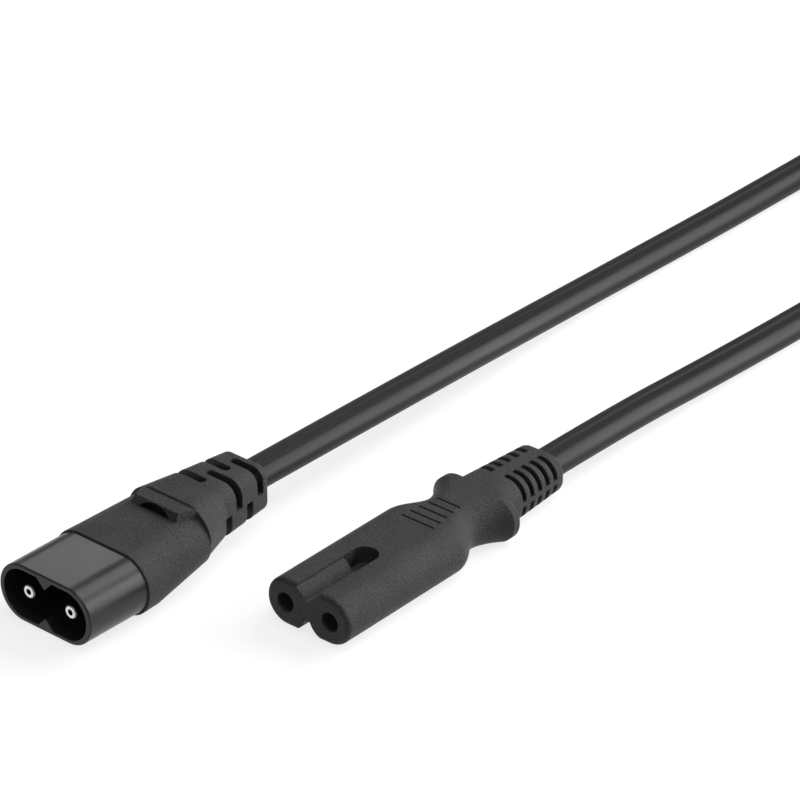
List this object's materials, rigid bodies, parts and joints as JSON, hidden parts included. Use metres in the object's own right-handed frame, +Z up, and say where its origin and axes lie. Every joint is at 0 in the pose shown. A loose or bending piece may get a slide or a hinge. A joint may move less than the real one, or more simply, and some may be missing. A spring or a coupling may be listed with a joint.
{
  "type": "figure eight power connector extension lead",
  "caption": "Flat mains cord with a moulded male figure eight plug on one end and a female figure eight connector on the other, the spare cord folded into a tied hank.",
  "frame": {"origin": "under the middle of the two moulded ends, on the surface that they lie on", "axes": "+Y from the faces back along the cord, +X from the plug to the connector across the contacts, +Z up"},
  "size_m": [0.057, 0.3596, 0.0132],
  "materials": {
    "shroud": "gloss",
    "overmould": "fine spark-eroded texture",
    "insert": "plain",
    "pin_metal": "nickel plated brass",
    "contact_metal": "bright",
    "copper": "bright",
    "core_brown": "smooth",
    "core_blue": "smooth",
    "cord_jacket": "satin",
    "tie": "satin"
  },
  "bodies": {
    "root": {"plug_shroud": "shroud", "plug_pin_line": "pin_metal", "plug_pin_neutral": "pin_metal", "plug_strands_line": "copper", "plug_strands_neutral": "copper", "plug_core_line": "core_brown", "plug_core_neutral": "core_blue", "plug_body": "overmould", "connector_body": "overmould", "connector_insert": "insert", "connector_contact_line": "contact_metal", "connector_contact_neutral": "contact_metal", "connector_strands_line": "copper", "connector_strands_neutral": "copper", "connector_core_line": "core_brown", "connector_core_neutral": "core_blue", "plug_cord": "cord_jacket", "connector_cord": "cord_jacket", "cord_hank": "cord_jacket", "cord_tie": "tie"}
  },
  "joints": []
}
